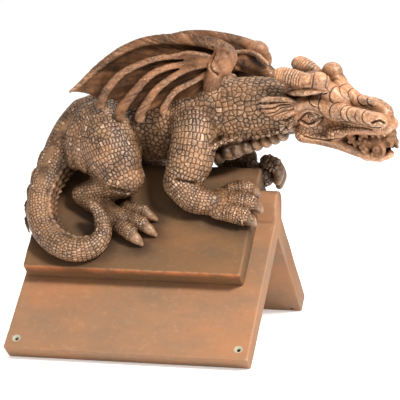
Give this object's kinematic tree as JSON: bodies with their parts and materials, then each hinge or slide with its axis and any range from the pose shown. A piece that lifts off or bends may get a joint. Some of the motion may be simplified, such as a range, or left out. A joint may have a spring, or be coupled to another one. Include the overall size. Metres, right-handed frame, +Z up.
{
  "type": "dragon roof sculpture",
  "caption": "Scaly dragon crouching on a stepped ridge tile, on a saddle of two sloping boards that fits over a roof ridge and is held by screws.",
  "frame": {"origin": "middle of the underside of the whole sculpture's bounding box", "axes": "+X along the ridge toward the dragon's head, -Y the slope the head and tail turn to, +Z up"},
  "size_m": [0.3908, 0.3194, 0.3233],
  "materials": {
    "dragon_clay": "cast resin, brown wash in the cuts, dry-brushed tan and a low sheen on the scales",
    "tile_clay": "cast resin, brown terracotta tone, hand-hewn edges",
    "saddle_clay": "cast resin, matt tan terracotta tone with faint stains"
  },
  "bodies": {
    "root": {"dragon": "dragon_clay", "ridge_tile": "tile_clay", "roof_saddle": "saddle_clay"}
  },
  "joints": []
}
